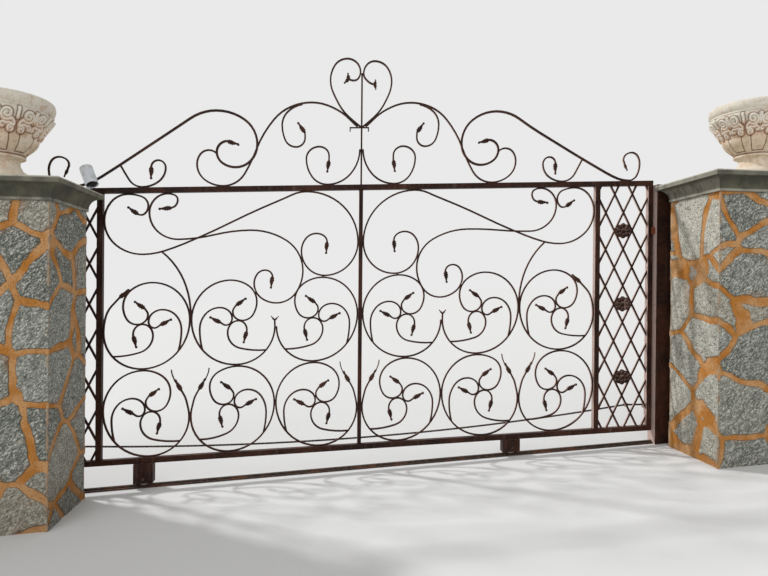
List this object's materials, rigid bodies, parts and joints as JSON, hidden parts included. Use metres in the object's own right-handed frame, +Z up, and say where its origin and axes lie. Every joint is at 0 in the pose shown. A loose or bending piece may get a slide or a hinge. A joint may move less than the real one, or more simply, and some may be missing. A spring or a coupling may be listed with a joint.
{
  "type": "sliding driveway gate",
  "caption": "Raked sliding gate of scrolled wrought iron with a heart crest, on grooved wheels and a track, between stone piers with caps and urns.",
  "frame": {"origin": "centre of the underside of the right pier", "axes": "+X along the gate from the left pier to the right pier, +Y from the street into the yard, +Z up"},
  "size_m": [9.108, 0.802, 3.3524],
  "materials": {
    "stone_veneer": "split stone in wide mortar",
    "moulded_concrete": "weathered, matt",
    "cast_stone": "matt, with relief",
    "painted_iron": "dark brown paint, sun-bleached, with rust",
    "rusted_iron": "rusted",
    "worn_steel": "worn, with rust",
    "white_shell": "white, satin"
  },
  "bodies": {
    "piers": {"left_pier": "stone_veneer", "right_pier": "stone_veneer", "left_cap": "moulded_concrete", "right_cap": "moulded_concrete", "left_urn": "cast_stone", "right_urn": "cast_stone", "catch_post": "painted_iron", "keeper": "rusted_iron", "ground_track": "worn_steel", "camera_housing": "white_shell"},
    "leaf": {"top_rail": "painted_iron", "bottom_rail": "painted_iron", "left_end_stile": "painted_iron", "left_inner_stile": "painted_iron", "centre_bar": "painted_iron", "right_inner_stile": "painted_iron", "right_end_stile": "painted_iron", "left_lattice": "painted_iron", "right_lattice": "painted_iron", "left_lower_scrolls": "painted_iron", "right_lower_scrolls": "painted_iron", "left_upper_scrolls": "painted_iron", "right_upper_scrolls": "painted_iron", "crest_scrolls": "painted_iron", "heart": "painted_iron", "left_wheel_box": "painted_iron", "right_wheel_box": "painted_iron", "chain_brackets": "painted_iron", "left_axle": "worn_steel", "right_axle": "worn_steel", "drive_chain": "worn_steel"},
    "left_wheel": {"left_wheel": "worn_steel"},
    "right_wheel": {"right_wheel": "worn_steel"}
  },
  "joints": [
    {"name": "gate_slide", "type": "slide", "parent": "piers", "child": "leaf", "axis": [-0.9982, 0, -0.0599], "range_m": [0, 4.1]},
    {"name": "left_wheel_turn", "type": "hinge", "parent": "leaf", "child": "left_wheel", "pos_m": [-4.318, 0.4, 0.31747], "axis": [0, 1, 0], "continuous": true},
    {"name": "right_wheel_turn", "type": "hinge", "parent": "leaf", "child": "right_wheel", "pos_m": [-1.656, 0.4, 0.47719], "axis": [0, 1, 0], "continuous": true}
  ],
  "couplings": [
    {"joint": "left_wheel_turn", "follows": "gate_slide", "rad_per_m": -26.042},
    {"joint": "right_wheel_turn", "follows": "gate_slide", "rad_per_m": -26.042}
  ]
}
